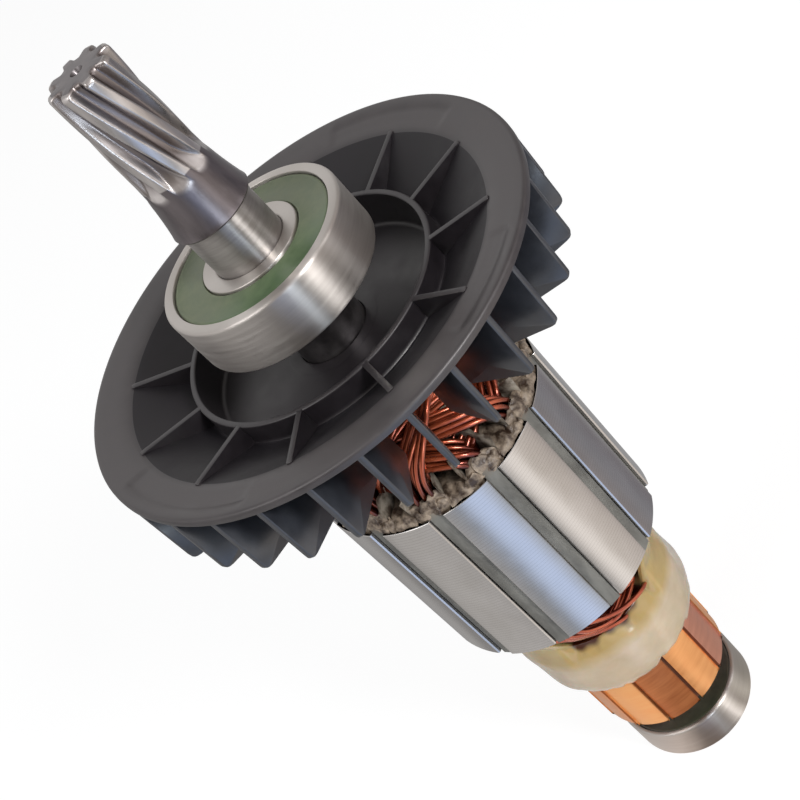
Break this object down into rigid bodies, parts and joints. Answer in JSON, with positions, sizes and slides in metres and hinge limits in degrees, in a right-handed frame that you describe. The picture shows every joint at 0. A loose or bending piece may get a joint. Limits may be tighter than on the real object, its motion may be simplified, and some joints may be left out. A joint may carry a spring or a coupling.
{
  "type": "motor armature",
  "caption": "Wound rotor of a mains power tool: steel shaft with a helical pinion, cooling fan, wound slotted core, commutator and two ball bearings.",
  "frame": {"origin": "centre of the tail face of the shaft, which is also the lower face of the rear bearing", "axes": "+Z along the shaft from the commutator end to the pinion, +X to the side that faces the viewer in the picture, +Y by the right-hand rule"},
  "size_m": [0.0598, 0.0598, 0.1325],
  "materials": {
    "shaft_steel": "ground",
    "bearing_steel": "satin",
    "ball_steel": "polished",
    "seal_rubber": "satin",
    "cage_nylon": "matte",
    "core_steel": "satin",
    "insulating_fibre": "matte",
    "insulating_paper": "matte",
    "slot_wedge": "matte",
    "sleeve_resin": "satin",
    "enamelled_copper": "gloss",
    "bar_copper": "satin",
    "moulding_resin": "satin",
    "cast_resin": "gloss",
    "fan_plastic": "satin"
  },
  "bodies": {
    "rotor": {"coil_01": "enamelled_copper", "coil_02": "enamelled_copper", "coil_03": "enamelled_copper", "coil_04": "enamelled_copper", "coil_05": "enamelled_copper", "coil_06": "enamelled_copper", "coil_07": "enamelled_copper", "coil_08": "enamelled_copper", "coil_09": "enamelled_copper", "coil_10": "enamelled_copper", "coil_11": "enamelled_copper", "coil_12": "enamelled_copper", "commutator_bar_01": "bar_copper", "commutator_bar_02": "bar_copper", "commutator_bar_03": "bar_copper", "commutator_bar_04": "bar_copper", "commutator_bar_05": "bar_copper", "commutator_bar_06": "bar_copper", "commutator_bar_07": "bar_copper", "commutator_bar_08": "bar_copper", "commutator_bar_09": "bar_copper", "commutator_bar_10": "bar_copper", "commutator_bar_11": "bar_copper", "commutator_bar_12": "bar_copper", "commutator_moulding": "moulding_resin", "cooling_fan": "fan_plastic", "front_bearing_inner_ring": "bearing_steel", "front_end_plate": "insulating_fibre", "lamination_stack": "core_steel", "rear_bearing_inner_ring": "bearing_steel", "rear_end_plate": "insulating_fibre", "resin_collar": "cast_resin", "rotor_shaft": "shaft_steel", "shaft_sleeve": "sleeve_resin", "slot_liners": "insulating_paper", "slot_wedge_01": "slot_wedge", "slot_wedge_02": "slot_wedge", "slot_wedge_03": "slot_wedge", "slot_wedge_04": "slot_wedge", "slot_wedge_05": "slot_wedge", "slot_wedge_06": "slot_wedge", "slot_wedge_07": "slot_wedge", "slot_wedge_08": "slot_wedge", "slot_wedge_09": "slot_wedge", "slot_wedge_10": "slot_wedge", "slot_wedge_11": "slot_wedge", "slot_wedge_12": "slot_wedge"},
    "front_outer_race": {"front_bearing_outer_ring": "bearing_steel", "front_bearing_upper_seal": "seal_rubber", "front_bearing_lower_seal": "seal_rubber"},
    "front_ball_set": {"front_bearing_cage": "cage_nylon", "front_bearing_balls": "ball_steel"},
    "rear_outer_race": {"rear_bearing_outer_ring": "bearing_steel", "rear_bearing_upper_seal": "seal_rubber", "rear_bearing_lower_seal": "seal_rubber"},
    "rear_ball_set": {"rear_bearing_cage": "cage_nylon", "rear_bearing_balls": "ball_steel"}
  },
  "joints": [
    {"name": "front_race_turn", "type": "hinge", "parent": "rotor", "child": "front_outer_race", "pos_m": [0, 0, 0.1021], "axis": [0, 0, 1], "continuous": true},
    {"name": "front_balls_turn", "type": "hinge", "parent": "rotor", "child": "front_ball_set", "pos_m": [0, 0, 0.1021], "axis": [0, 0, 1], "continuous": true},
    {"name": "rear_race_turn", "type": "hinge", "parent": "rotor", "child": "rear_outer_race", "pos_m": [0, 0, 0.003], "axis": [0, 0, 1], "continuous": true},
    {"name": "rear_balls_turn", "type": "hinge", "parent": "rotor", "child": "rear_ball_set", "pos_m": [0, 0, 0.003], "axis": [0, 0, 1], "continuous": true}
  ],
  "couplings": [
    {"joint": "front_balls_turn", "follows": "front_race_turn", "ratio": 0.6109},
    {"joint": "rear_balls_turn", "follows": "rear_race_turn", "ratio": 0.6254}
  ]
}
